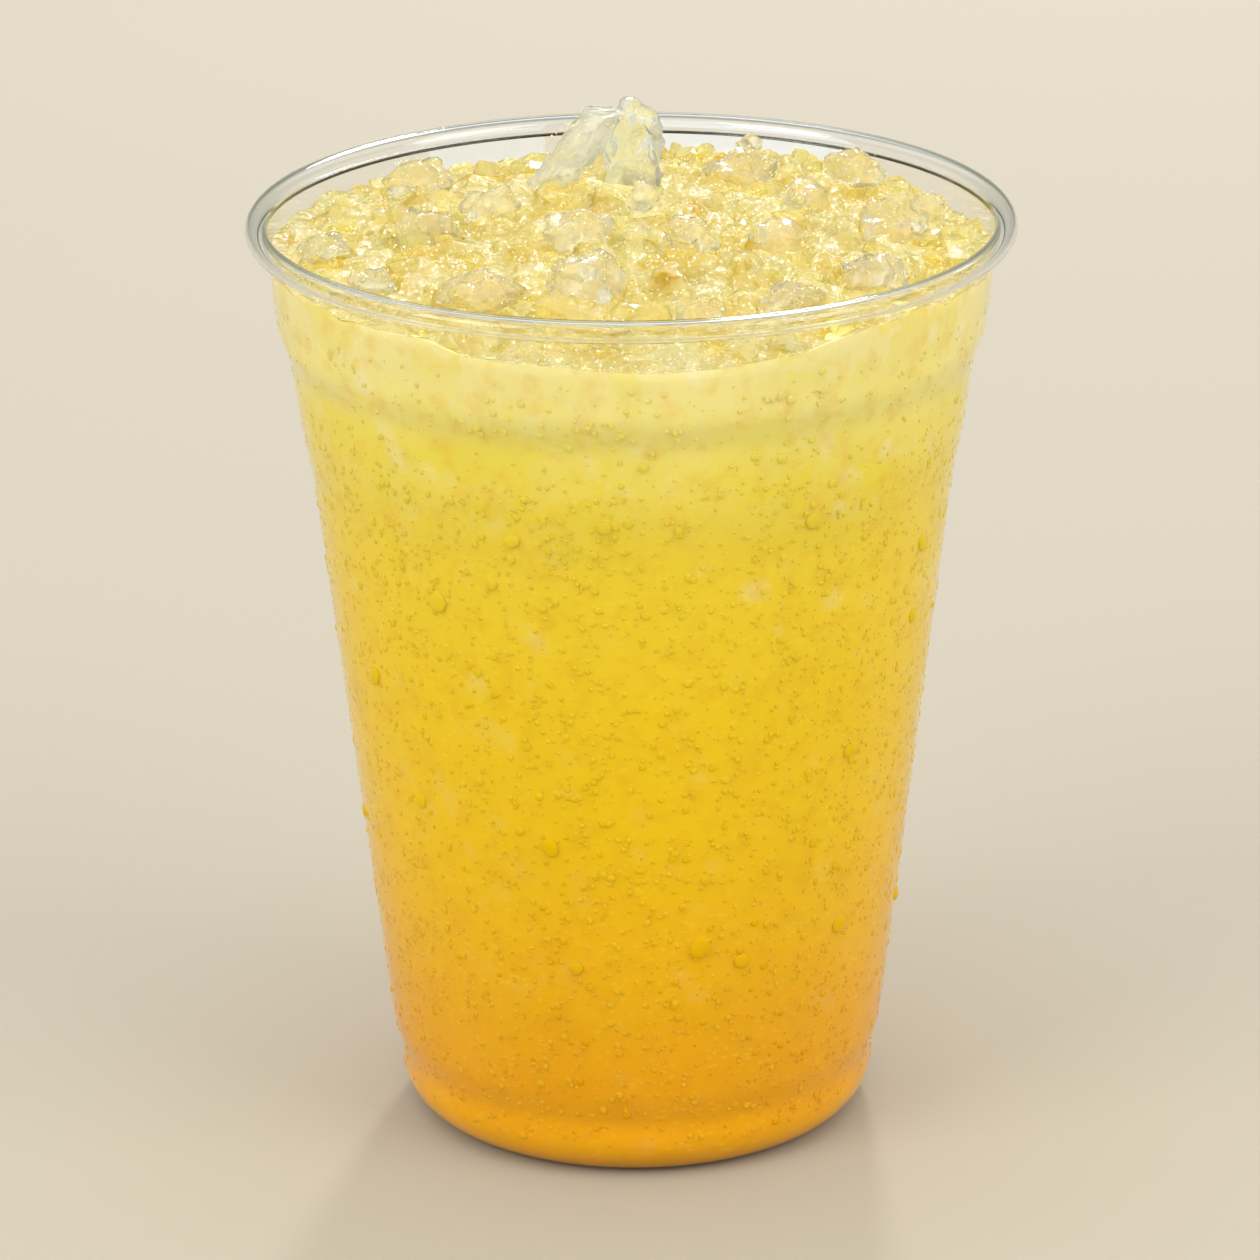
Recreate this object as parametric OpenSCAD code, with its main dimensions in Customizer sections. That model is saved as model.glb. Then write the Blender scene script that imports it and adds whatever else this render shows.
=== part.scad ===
// Iced lemonade in a clear plastic cup: the cup, the drink and the crushed ice heaped on it.
// Millimetres, +Z up, origin at the middle of the cup's underside.

/* [Cup] */
// Height of the cup to the top of its rolled rim
cup_h = 121; // [100:1:146]
// Diameter over the rolled rim
rim_d = 98; // [81:1:118]
// Diameter of the foot, outside
base_d = 62; // [51:1:75]
// Thickness of the formed sheet
wall = 0.45; // [0.3:0.05:0.8]
// Diameter of the rolled rim's bead
curl_d = 2.9; // [2.4:0.1:3.6]
// How far the bead is rolled round, in degrees from the inside of the cup
curl_sweep = 295; // [200:5:310]
// Radius of the corner between the underside and the foot
corner_r = 6; // [4:0.1:7.2]
// Height of the pushed-up middle of the base
push_up = 2.2; // [1:0.1:4]
// Radius of the pushed-up middle of the base
push_up_r = 17; // [12:0.1:20.4]
// Width of the flat ring that the cup stands on
stand_w = 2.5; // [1.5:0.1:3]

/* [Steps in the wall] */
// Height of the straight foot
foot_h = 8; // [7:0.5:10]
// Height of the step above the foot
foot_step_h = 4; // [2:0.5:6]
// How far the step above the foot stands out
foot_step = 1.15; // [0.5:0.05:2]
// Distance from the top of the cup down to the neck
neck_drop = 14; // [10:0.5:16]
// Height of the step under the neck
neck_step_h = 4; // [2:0.5:6]
// How far the step under the neck stands out
neck_step = 1.55; // [0.5:0.05:2.5]
// Height of the grip band under that step
band_h = 8; // [5:0.5:12]
// How much wider the grip band is at its top than at its bottom
band_out = 1.05; // [0.5:0.05:2]
// Height of the flare that leads up to the grip band
flare_h = 8; // [4:0.5:12]
// How much wider the flare is at its top than at its bottom
flare_out = 1.5; // [0.8:0.05:2.5]

/* [Drink and ice] */
// Distance from the top of the cup down to the drink
drink_drop = 9.5; // [8.5:0.1:14]
// Distance from the top of the cup down to the ice at the wall, at the back
ice_drop = 4.6; // [3:0.1:6]
// How much lower the ice meets the wall at the front
front_dip = 2.9; // [0:0.1:4]
// How much higher the heap is at its middle than at the wall
heap_rise = 2; // [0:0.1:5]
// How far the crystal at the top stands above the rim
peak_rise = 9.6; // [4:0.1:14]
// Gap between the contents and the cup
fill_gap = 0.12; // [0.05:0.01:0.3]
// Gap between one piece of ice and the next
ice_gap = 0.1; // [0.05:0.01:0.3]

/* [Hidden] */
rim_r = rim_d / 2;
base_r = base_d / 2;
curl_r = curl_d / 2;
stand_r = base_r - corner_r;
neck_z = cup_h - neck_drop;
band_z = neck_z - neck_step_h - band_h;
// The sheet's outer face where the neck runs up into the bead
neck_top_r = rim_r - curl_d + wall;
// How much narrower the neck is at its foot
neck_draft = 1.35;
neck_r = neck_top_r - neck_draft;
band_top_r = neck_r - neck_step;
band_r = band_top_r - band_out;
foot_top_r = base_r + foot_step;
drink_z = cup_h - drink_drop;
peak_z = cup_h + peak_rise;
corner_steps = 6;
curl_steps = 14;
// Turn from one point of an even spiral to the next
golden = 180 * (3 - sqrt(5));

// The ice is laid out for a mouth of this radius, and drawn to the real mouth by ice_scale
drawn_r = 46;

// Each large piece of ice: middle x, y, how far over the rim's top its middle is, half sizes, turn
LUMPS = [
    [-27.5,  22.5, -2.4,  5.6, 4.6, 3.4,  20],
    [-26.0,  -4.5, -1.4,  5.0, 5.2, 3.8,  70],
    [-32.0, -20.5, -3.6,  3.6, 3.4, 2.8,  10],
    [-18.6, -27.5, -2.6,  6.4, 5.2, 3.2, -12],
    [ -5.2, -25.2, -1.6,  6.0, 5.0, 4.2,  35],
    [ -6.6,  -7.0, -0.9,  5.2, 5.6, 4.0, -20],
    [  1.6,   5.4,  0.4,  2.7, 2.6, 2.8,  50],
    [ 14.4,  23.0, -1.5,  6.0, 5.0, 3.8,  12],
    [ 15.6,  37.6, -2.2,  2.1, 1.9, 2.1,   0],
    [ 29.2,  25.0, -2.4,  4.6, 4.4, 3.2, -30],
    [ 33.0,  -1.0, -1.9,  5.6, 5.4, 3.8,  15],
    [ 22.6,  10.6, -1.9,  4.4, 4.2, 3.2,  62],
    [ 29.6, -20.4, -2.6,  5.8, 5.0, 3.4, -25],
    [ 19.6, -29.4, -3.2,  4.8, 4.2, 2.8,  30],
    [  8.6, -32.2, -3.4,  5.0, 3.6, 2.8,   8],
    [  7.0,  -8.8, -1.4,  4.6, 4.4, 3.4,  40],
    [ 18.0,  -6.4, -1.8,  4.4, 5.0, 3.2, -48],
    [-39.0,  -4.6, -3.6,  3.6, 4.6, 2.6,   6],
    [-18.0,  10.0, -2.3,  4.8, 4.4, 3.0,  25],
    [ 38.0,   9.0, -3.2,  3.6, 3.4, 2.8,  20]
];
lump_points = 20;
// How uneven a piece of ice is, as a share of its half size
lump_least = 0.76;
lump_most = 1.12;

// Crushed ice between the large pieces: how many, how fine, half sizes, how far it keeps from the wall,
// how deep it sits, and its turn from one to the next
crushed_count = 72;
crushed_points = 12;
crushed_half = [3.5, 3.1, 2.1];
crushed_margin = 5;
crushed_sink = 0.5;
crushed_turn = 83;
// Share of the front dip by which the crushed ice keeps further back there
front_clear = 1.7;

// Mounds and hollows of the heap: x, y, height, spread
MOUNDS = [
    [-27,  22,  1.2, 7], [-26,  -4,  1.4, 6], [-12, -24,  1.2, 9], [ -4,  -4,  1.4, 7],
    [ -4,  22,  2.0, 8], [ 15,  24,  1.4, 7], [ 32,   0,  1.4, 7], [ 28, -20,  1.2, 7],
    [-34,   8, -1.8, 4], [-10,   8, -1.4, 4], [ 24, -10, -1.2, 4], [ 36,  16, -1.0, 5],
    [-14, -14, -1.2, 4]
];
// Smaller dips of the line where the ice meets the wall: direction, depth, spread in degrees
EDGE_DIPS = [[10, 0.5, 30], [122, 1.2, 16]];
// Its ripples: height, waves round the cup, shift
EDGE_WAVES = [[0.25, 7, 40], [0.15, 13, 0]];
// Roughness of the heap: height, degrees for each millimetre of x and of y, shift
ROUGH_WAVES = [[0.35, 41, 23, 0], [0.3, 29, -47, 60], [0.25, 67, 71, 130]];
heap_rings = 10;
heap_sides = 54;

// Crystal at the top: middle of its foot, how deep that lies under the rim's top, and rings up to the tip
peak_at = [-0.1, 19.6];
peak_deep = 4;
// height share, half width, half depth, shift towards +X
PEAK_RINGS = [[0, 3.6, 3.4, 0.2], [0.5, 3.3, 3.1, 0.4], [0.86, 2.4, 2.0, 0.4], [1, 0.8, 0.6, 0]];
peak_sides = 7;
peak_turn = 17;
// How uneven its sides are, as a share of its half width
peak_uneven = 0.13;
// Bubbly piece that leans on the crystal's left side
shoulder_at = [-7.4, 18.6, 3.0];
shoulder_half = [9.2, 4.8, 4.0];
shoulder_turn = -8;
shoulder_tilt = -40;

// Outer radius of the wall at height z, between the corner and the bead
function wall_r(z) = lookup(z, [
    [corner_r, base_r],
    [foot_h, base_r],
    [foot_h + foot_step_h, foot_top_r],
    [band_z - flare_h, band_r - flare_out],
    [band_z, band_r],
    [neck_z - neck_step_h, band_top_r],
    [neck_z, neck_r],
    [cup_h - curl_r, neck_top_r]
]);

function inner_r(z) = wall_r(z) - wall;
ice_scale = inner_r(cup_h - ice_drop) / drawn_r;

// Sheet of the cup set in from its outer face by t
function sheet(t) = concat(
    [[0, push_up + t], [push_up_r, push_up + t],
     [(push_up_r + stand_r - stand_w) / 2, push_up / 2 + t], [stand_r - stand_w, t], [stand_r, t]],
    [for (i = [1:corner_steps]) let (a = -90 + 90 * i / corner_steps)
        [stand_r + (corner_r - t) * cos(a), corner_r + (corner_r - t) * sin(a)]],
    [for (z = [foot_h, foot_h + foot_step_h, band_z - flare_h, band_z,
               neck_z - neck_step_h, neck_z, cup_h - curl_r]) [wall_r(z) - t, z]]
);

// Bead: rolled from the inside of the cup over the top, out and down
function curl_arc(r, first, last) = [for (i = [first:last - first > 0 ? 1 : -1:last])
    let (a = 180 - curl_sweep * i / curl_steps)
    [rim_r - curl_r + r * cos(a), cup_h - curl_r + r * sin(a)]];

function reverse(list) = [for (i = [len(list) - 1:-1:0]) list[i]];

module cup() {
    color([0.93, 0.96, 0.97, 0.35])
    rotate_extrude()
    polygon(concat(
        sheet(0),
        curl_arc(curl_r - wall, 1, curl_steps),
        curl_arc(curl_r, curl_steps, 1),
        reverse(sheet(wall))
    ));
}

// Outline of the hollow in the cup, up to height top
function hollow(top) = let (t = wall + fill_gap) concat(
    [for (p = sheet(t)) if (p[1] < top) p],
    [[wall_r(top) - t, top], [0, top]]
);

module drink() {
    color([0.94, 0.72, 0.05])
    rotate_extrude() polygon(hollow(drink_z));
}

function bell(offset, spread) = exp(-pow(offset / spread, 2));
function dip(a) = front_dip * bell(a - 270, 34);
// Height at which the ice meets the wall, in direction a
function edge_z(a) = cup_h - ice_drop - dip(a)
    - sum([for (d = EDGE_DIPS) d[1] * bell(a - d[0], d[2])])
    + sum([for (w = EDGE_WAVES) w[0] * sin(w[1] * a + w[2])]);

function mound(x, y) = [for (m = MOUNDS)
    ice_scale * m[2] * exp(-(pow(x - m[0], 2) + pow(y - m[1], 2)) / (2 * m[3] * m[3]))];
function sum(list, i = 0) = i < len(list) ? list[i] + sum(list, i + 1) : 0;
function rough(x, y) = sum([for (w = ROUGH_WAVES) w[0] * sin(w[1] * x + w[2] * y + w[3])]);

// Height of the heap at radius r in direction a; its rise fades out towards the wall
function heap_z(share, a, r) = let (
    x = r * cos(a) / ice_scale, y = r * sin(a) / ice_scale,
    line_z = cup_h - ice_drop, fade = 1 - pow(share, 4)
) line_z + (edge_z(a) - line_z) * share * share + fade * (heap_rise + sum(mound(x, y)) + rough(x, y));

function heap_points(gap) = let (
    foot_z = drink_z + gap,
    side = [for (j = [0:heap_sides - 1]) 360 * j / heap_sides]
) concat(
    [[0, 0, heap_z(0, 90, 0)]],
    [for (i = [1:heap_rings]) for (a = side)
        let (share = i / heap_rings, r = share * (inner_r(edge_z(a)) - gap))
        [r * cos(a), r * sin(a), heap_z(share, a, r)]],
    [for (a = side) let (r = inner_r(foot_z) - gap) [r * cos(a), r * sin(a), foot_z]],
    [[0, 0, foot_z]]
);

function heap_faces() = let (n = heap_sides, last = 1 + (heap_rings + 1) * n) concat(
    [for (j = [0:n - 1]) [0, 1 + (j + 1) % n, 1 + j]],
    [for (i = [0:heap_rings - 1]) for (j = [0:n - 1])
        let (a = 1 + i * n + j, b = 1 + i * n + (j + 1) % n) each [[a, b, a + n], [b, b + n, a + n]]],
    [for (j = [0:n - 1]) [last, last - n + j, last - n + (j + 1) % n]]
);

// Uneven chunk with flat facets: its points spiral over a ball and are pushed in and out by chance
module chunk(half, seed, grow = 0, count = lump_points) {
    push = rands(lump_least, lump_most, count, seed);
    points = [for (i = [0:count - 1])
        let (z = 1 - (2 * i + 1) / count, r = sqrt(1 - z * z), a = golden * i)
        [(half[0] * push[i] + grow) * r * cos(a), (half[1] * push[i] + grow) * r * sin(a),
         (half[2] * push[i] + grow) * z]];
    hull() polyhedron(points, [for (i = [0:count - 3]) [i, i + 1, i + 2]]);
}

// One of the small pieces, spread over the heap in a spiral that keeps them evenly apart
module crushed(i) {
    a = (golden * i) % 360;
    spread = sqrt((i + 0.5) / crushed_count);
    full = inner_r(edge_z(a)) - fill_gap;
    r = spread * (full - ice_scale * (crushed_margin + front_clear * dip(a)));
    size = rands(0.75, 1.2, 1, 300 + i)[0];
    translate([r * cos(a), r * sin(a), heap_z(r / full, a, r) - crushed_sink])
    rotate([0, 0, crushed_turn * i])
    chunk(crushed_half * size * ice_scale, 100 + i, count = crushed_points);
}

module lump(i, grow = 0) {
    p = LUMPS[i];
    translate(ice_scale * [p[0], p[1], p[2]] + [0, 0, cup_h]) rotate([0, 0, p[6]])
    chunk(ice_scale * [p[3], p[4], p[5]], 11 + i, grow);
}

module shoulder(grow = 0) {
    translate(ice_scale * shoulder_at + [0, 0, cup_h])
    rotate([0, shoulder_tilt, shoulder_turn])
    chunk(ice_scale * shoulder_half, 7, grow);
}

module crystal(grow = 0) {
    points = [for (ring = PEAK_RINGS) for (j = [0:peak_sides - 1])
        let (a = 360 * j / peak_sides + peak_turn, z = peak_z - (peak_rise + peak_deep) * (1 - ring[0]),
             wave = 1 + peak_uneven * sin(5 * a + 70 * ring[0]))
        [ice_scale * (peak_at[0] + ring[3]) + (ice_scale * ring[1] * wave + grow) * cos(a),
         ice_scale * peak_at[1] + (ice_scale * ring[2] * wave + grow) * sin(a),
         z + (ring[0] == 1 ? grow : ring[0] == 0 ? -grow : 0)]];
    hull() polyhedron(points, [for (i = [0:len(points) - 3]) [i, i + 1, i + 2]]);
}

module ice_heap() {
    color([0.93, 0.85, 0.55])
    difference() {
        union() {
            polyhedron(heap_points(fill_gap), heap_faces());
            for (i = [0:crushed_count - 1]) crushed(i);
        }
        crystal(ice_gap);
        shoulder(ice_gap);
        for (i = [0:len(LUMPS) - 1]) lump(i, ice_gap);
    }
}

module ice_peak() {
    color([0.93, 0.96, 1.0, 0.7]) crystal();
}

module ice_shoulder() {
    color([0.93, 0.92, 0.82])
    difference() {
        shoulder();
        crystal(ice_gap);
    }
}

module ice_lump(i) {
    color([0.93, 0.90, 0.74]) lump(i);
}

cup();
drink();
ice_heap();
ice_peak();
ice_shoulder();
for (i = [1:len(LUMPS)]) ice_lump(i - 1);
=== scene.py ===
import math
import random
import bpy
import numpy as np
from mathutils import Matrix, Vector
from mathutils.bvhtree import BVHTree
from mathutils.noise import noise


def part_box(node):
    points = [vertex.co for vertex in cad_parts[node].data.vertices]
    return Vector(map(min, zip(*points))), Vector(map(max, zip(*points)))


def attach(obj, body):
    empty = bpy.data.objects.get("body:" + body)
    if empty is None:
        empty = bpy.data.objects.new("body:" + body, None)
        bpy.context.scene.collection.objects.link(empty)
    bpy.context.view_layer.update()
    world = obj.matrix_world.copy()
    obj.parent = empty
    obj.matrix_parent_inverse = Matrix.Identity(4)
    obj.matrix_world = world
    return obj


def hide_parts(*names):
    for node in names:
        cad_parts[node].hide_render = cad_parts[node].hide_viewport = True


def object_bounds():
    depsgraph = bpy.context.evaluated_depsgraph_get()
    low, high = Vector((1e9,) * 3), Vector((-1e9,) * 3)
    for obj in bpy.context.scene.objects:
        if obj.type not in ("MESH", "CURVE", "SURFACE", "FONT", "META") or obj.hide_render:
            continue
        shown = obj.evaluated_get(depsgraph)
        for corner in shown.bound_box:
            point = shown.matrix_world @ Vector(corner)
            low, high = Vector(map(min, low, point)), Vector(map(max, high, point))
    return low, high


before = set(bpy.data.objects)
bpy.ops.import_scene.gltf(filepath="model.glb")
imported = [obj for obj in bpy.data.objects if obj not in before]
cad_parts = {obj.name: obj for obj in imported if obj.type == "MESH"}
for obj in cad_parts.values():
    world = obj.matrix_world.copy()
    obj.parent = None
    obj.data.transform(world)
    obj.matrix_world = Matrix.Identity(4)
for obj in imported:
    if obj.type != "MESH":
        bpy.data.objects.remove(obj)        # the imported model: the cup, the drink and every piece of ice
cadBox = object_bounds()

mm = 0.001
chance = random.Random(20)
cupLow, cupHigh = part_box("cup")
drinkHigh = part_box("drink")[1]
heapLow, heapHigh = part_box("ice_heap")
lumpNodes = sorted(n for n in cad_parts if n.startswith("ice_lump"))
print("frame read:", len(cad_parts), "nodes")


def deselect():
    if bpy.context.mode != "OBJECT":
        bpy.ops.object.mode_set(mode="OBJECT")
    bpy.ops.object.select_all(action="DESELECT")
    bpy.context.view_layer.objects.active = None


def pick(piece):
    deselect()
    piece.select_set(True)
    bpy.context.view_layer.objects.active = piece


def editAll():
    bpy.ops.object.mode_set(mode="EDIT")
    bpy.ops.mesh.select_all(action="SELECT")


def applyModifiers(piece):
    pick(piece)
    for modifier in list(piece.modifiers):
        bpy.ops.object.modifier_apply(modifier=modifier.name)


def settle(piece, name):          # place, turn and scale go into the mesh
    pick(piece)
    bpy.ops.object.transform_apply(location=True, rotation=True, scale=True)
    piece.name = name
    piece.data.name = name
    return piece


def smooth(piece, angle=40):
    pick(piece)
    bpy.ops.object.shade_smooth_by_angle(angle=math.radians(angle))


def finishPiece(piece, material, nodes=()):
    piece.data.materials.clear()
    piece.data.materials.append(material)
    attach(piece, "root")
    if nodes:
        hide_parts(*nodes)


def cadCopy(node, name):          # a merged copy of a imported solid
    deselect()
    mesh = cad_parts[node].data.copy()
    piece = bpy.data.objects.new(name, mesh)
    bpy.context.scene.collection.objects.link(piece)
    pick(piece)
    editAll()
    bpy.ops.mesh.remove_doubles(threshold=0.002 * mm)
    bpy.ops.object.mode_set(mode="OBJECT")
    return piece


def seamOutline(node):            # radius and height down one side of a turned solid, axis to axis
    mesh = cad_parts[node].data
    spot = {}
    for v in mesh.vertices:
        if abs(v.co.y) < 0.001 * mm and v.co.x > -0.001 * mm:
            spot[v.index] = (round(v.co.x, 6), round(v.co.z, 6))
    beside = {}
    for edge in mesh.edges:
        a, b = edge.vertices
        if a in spot and b in spot and spot[a] != spot[b]:
            beside.setdefault(spot[a], set()).add(spot[b])
            beside.setdefault(spot[b], set()).add(spot[a])
    ends = [p for p in beside if len(beside[p]) == 1]
    ends = ends or [p for p in beside if p[0] < 0.001 * mm]
    here = min(ends, key=lambda p: (p[1], p[0]))
    line, seen = [here], {here}
    while True:
        onward = [p for p in beside[here] if p not in seen]
        if not onward:
            break
        here = min(onward, key=lambda p: math.dist(p, here))
        seen.add(here)
        line.append(here)
    return [(0.0, line[0][1])] + line + [(0.0, line[-1][1])]


def rounded(line, radius, steps):  # each corner of a line becomes a short curve
    out = [line[0]]
    for a, b, c in zip(line, line[1:], line[2:]):
        a, b, c = Vector(a), Vector(b), Vector(c)
        cutA = min(radius, 0.5 * (a - b).length)
        cutC = min(radius, 0.5 * (c - b).length)
        p, q = b + (a - b).normalized() * cutA, b + (c - b).normalized() * cutC
        for i in range(steps + 1):
            t = i / steps
            out.append(tuple(p * (1 - t) ** 2 + b * 2 * t * (1 - t) + q * t * t))
    out.append(line[-1])
    kept = [out[0]]
    for p in out[1:]:
        if (Vector(p) - Vector(kept[-1])).length > 0.02 * mm:
            kept.append(p)
    return kept


def turned(name, line, steps):    # a wire drawn by extrusion, spun round the cup's axis
    deselect()
    bpy.ops.mesh.primitive_plane_add(size=mm, location=(line[0][0], 0, line[0][1]))
    piece = bpy.context.object
    editAll()
    bpy.ops.mesh.merge(type="CENTER")
    for (r0, z0), (r1, z1) in zip(line, line[1:]):
        bpy.ops.mesh.extrude_vertices_move(TRANSFORM_OT_translate={"value": (r1 - r0, 0, z1 - z0)})
    bpy.ops.mesh.select_all(action="SELECT")
    bpy.ops.mesh.spin(steps=steps, angle=2 * math.pi, center=(0, 0, 0), axis=(0, 0, 1))
    bpy.ops.mesh.select_all(action="SELECT")
    bpy.ops.mesh.remove_doubles(threshold=0.002 * mm)
    bpy.ops.mesh.normals_make_consistent(inside=False)
    bpy.ops.object.mode_set(mode="OBJECT")
    settle(piece, name)
    smooth(piece, 40)
    return piece


def wallAt(line, height):         # the radii at which a line crosses a height, least and most
    found = []
    for (r0, z0), (r1, z1) in zip(line, line[1:]):
        if z0 != z1 and min(z0, z1) <= height <= max(z0, z1):
            found.append(r0 + (r1 - r0) * (height - z0) / (z1 - z0))
    return min(found), max(found)


def takeMesh(piece):              # a master's points and faces, and the master goes
    mesh = piece.data
    points = np.array([v.co for v in mesh.vertices])
    faces = [tuple(p.vertices) for p in mesh.polygons]
    bpy.data.objects.remove(piece)
    return points, faces


def scattered(name, masters, places):   # places: (which master, 4x4 matrix, tone)
    points, faces, tones, start = [], [], [], 0
    for which, matrix, tone in places:
        base, shape = masters[which]
        m = np.array(matrix)
        points.append(base @ m[:3, :3].T + m[:3, 3])
        faces += [tuple(i + start for i in f) for f in shape]
        tones += [tone] * len(base)
        start += len(base)
    mesh = bpy.data.meshes.new(name)
    mesh.from_pydata(np.concatenate(points).tolist(), [], faces)
    mesh.attributes.new("tone", "FLOAT", "POINT").data.foreach_set("value", tones)
    piece = bpy.data.objects.new(name, mesh)
    bpy.context.scene.collection.objects.link(piece)
    pick(piece)
    return piece


def newMaterial(name):
    material = bpy.data.materials.new(name)
    material.use_nodes = True
    tree = material.node_tree
    tree.nodes.clear()
    out = tree.nodes.new("ShaderNodeOutputMaterial")
    shader = tree.nodes.new("ShaderNodeBsdfPrincipled")
    tree.links.new(shader.outputs[0], out.inputs[0])
    return material, tree, shader, out


def put(tree, kind, **values):
    node = tree.nodes.new(kind)
    for key, value in values.items():
        if hasattr(node, key) and key not in node.inputs:
            setattr(node, key, value)
        else:
            node.inputs[key.replace("_", " ")].default_value = value
    return node


def objectPoint(tree, scale=(1, 1, 1)):
    where = put(tree, "ShaderNodeTexCoord")
    mapping = put(tree, "ShaderNodeMapping")
    mapping.inputs["Scale"].default_value = scale
    tree.links.new(where.outputs["Object"], mapping.inputs[0])
    return mapping.outputs[0]


def ramp(tree, source, stops):
    node = put(tree, "ShaderNodeValToRGB")
    bar = node.color_ramp
    while len(bar.elements) < len(stops):
        bar.elements.new(0.5)
    for element, (place, colour) in zip(bar.elements, stops):
        element.position = place
        element.color = (*colour, 1)
    tree.links.new(source, node.inputs[0])
    return node.outputs[0]


def noiseOf(tree, vector, scale, detail=3, roughness=0.55):
    node = put(tree, "ShaderNodeTexNoise", Scale=scale, Detail=detail, Roughness=roughness)
    tree.links.new(vector, node.inputs["Vector"])
    return node.outputs["Fac"]


def voronoiOf(tree, vector, scale, feature="F1"):
    node = put(tree, "ShaderNodeTexVoronoi", feature=feature, Scale=scale)
    tree.links.new(vector, node.inputs["Vector"])
    return node.outputs["Distance"]


def mixColour(tree, factor, a, b, blend="MIX"):
    node = put(tree, "ShaderNodeMix", data_type="RGBA", blend_type=blend)
    for socket, value in ((node.inputs[0], factor), (node.inputs[6], a), (node.inputs[7], b)):
        if isinstance(value, bpy.types.NodeSocket):
            tree.links.new(value, socket)
        elif isinstance(value, (int, float)):
            socket.default_value = value
        else:
            socket.default_value = (*value, 1)
    return node.outputs[2]


def bumpOf(tree, height, strength, distance, before=None):
    node = put(tree, "ShaderNodeBump", Strength=strength, Distance=distance)
    tree.links.new(height, node.inputs["Height"])
    if before is not None:
        tree.links.new(before, node.inputs["Normal"])
    return node.outputs[0]


def letLampsThrough(tree, shader, out, share):   # lamps shine on through clear things
    path = put(tree, "ShaderNodeLightPath")
    clear = put(tree, "ShaderNodeBsdfTransparent")
    amount = put(tree, "ShaderNodeMath", operation="MULTIPLY")
    amount.inputs[1].default_value = share
    tree.links.new(path.outputs["Is Shadow Ray"], amount.inputs[0])
    mix = put(tree, "ShaderNodeMixShader")
    tree.links.new(amount.outputs[0], mix.inputs[0])
    tree.links.new(shader.outputs[0], mix.inputs[1])
    tree.links.new(clear.outputs[0], mix.inputs[2])
    tree.links.new(mix.outputs[0], out.inputs[0])


def srgb(*screen):                # a colour as a screen shows it, made linear
    shares = [c / 255 for c in screen]
    return tuple(c / 12.92 if c <= 0.04045 else ((c + 0.055) / 1.055) ** 2.4 for c in shares)


def grey(value):
    return (value, value, value)


plasticLook = {
    "roughness": 0.03,
    "ior": 1.38, "shine": 0.12,
    "tint": (0.985, 0.99, 0.995),
    # slow unevenness of formed sheet: waves per metre, strength, height
    "waves": 90, "waveStrength": 0.12, "waveHeight": 0.2 * mm,
    "lampShare": 0.9,
}


def clearPlastic():
    material, tree, shader, out = newMaterial("clearPlastic")
    shader.inputs["Base Color"].default_value = (*plasticLook["tint"], 1)
    shader.inputs["Transmission Weight"].default_value = 1
    shader.inputs["IOR"].default_value = plasticLook["ior"]
    shader.inputs["Roughness"].default_value = plasticLook["roughness"]
    shader.inputs["Specular IOR Level"].default_value = plasticLook["shine"]
    point = objectPoint(tree, (1, 1, 0.35))
    waves = noiseOf(tree, point, plasticLook["waves"], 1)
    normal = bumpOf(tree, waves, plasticLook["waveStrength"], plasticLook["waveHeight"])
    tree.links.new(normal, shader.inputs["Normal"])
    letLampsThrough(tree, shader, out, plasticLook["lampShare"])
    return material


drinkLook = {
    # share of the cup's height, colour; the stop at 0.87 is painted lighter, painted light that lifts the
    # shade on the neck step
    "bands": [
        (0.00, srgb(248, 182, 0)),
        (0.10, srgb(239, 173, 0)),
        (0.18, srgb(239, 180, 0)),
        (0.26, srgb(241, 190, 0)),
        (0.40, srgb(241, 201, 0)),
        (0.56, srgb(240, 206, 20)),
        (0.68, srgb(239, 210, 46)),
        (0.76, srgb(237, 213, 64)),
        (0.83, srgb(237, 219, 88)),
        # painted light: lighter here to lift the shade that falls on the neck step
        (0.87, srgb(242, 228, 124)),
        (0.91, srgb(239, 225, 138)),
        (1.00, srgb(236, 219, 120)),
    ],
    "patch": 60, "patchFar": 0.07,
    "roughness": 0.35,
}


def heightOf(tree, point):        # 0 at the floor, 1 at the rim
    split = put(tree, "ShaderNodeSeparateXYZ")
    tree.links.new(point, split.inputs[0])
    height = put(tree, "ShaderNodeMath", operation="DIVIDE")
    height.inputs[1].default_value = cupHigh.z
    tree.links.new(split.outputs[2], height.inputs[0])
    return height.outputs[0]


def drinkColour(tree, point, height, detail=4):
    shift = put(tree, "ShaderNodeMath", operation="MULTIPLY_ADD")
    tree.links.new(noiseOf(tree, point, drinkLook["patch"], detail), shift.inputs[0])
    shift.inputs[1].default_value = drinkLook["patchFar"]
    tree.links.new(height, shift.inputs[2])
    level = put(tree, "ShaderNodeMath", operation="SUBTRACT")
    level.inputs[1].default_value = drinkLook["patchFar"] / 2
    tree.links.new(shift.outputs[0], level.inputs[0])
    return ramp(tree, level.outputs[0], drinkLook["bands"])


sunkIce = {
    "ice": srgb(242, 233, 188), "pieces": srgb(243, 232, 176),
    # the dots are painted light: bright spots standing in for light gathered by beads on the wall
    "hollows": srgb(226, 170, 0), "beadLightDots": srgb(255, 230, 60),
    # sizes of the patterns, as repeats per metre
    "blobSize": 210, "patchSize": 110, "pieceSize": 170.0, "stirSize": 160.0,
    "hollowSize": 330, "beadLightDotSize": 900, "crowdSize": 180,
    "stirFar": 0.008,             # how far the pieces' edges are bent, in metres
    # share of the cup's height, how much of the ice shows there
    "iceByHeight": [(0.05, grey(0.05)), (0.55, grey(0.14)), (0.80, grey(0.45)), (0.97, grey(0.9))],
    "piecesByHeight": [(0.72, grey(0)), (0.90, grey(0.22)), (0.97, grey(0.6))],
}
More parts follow.
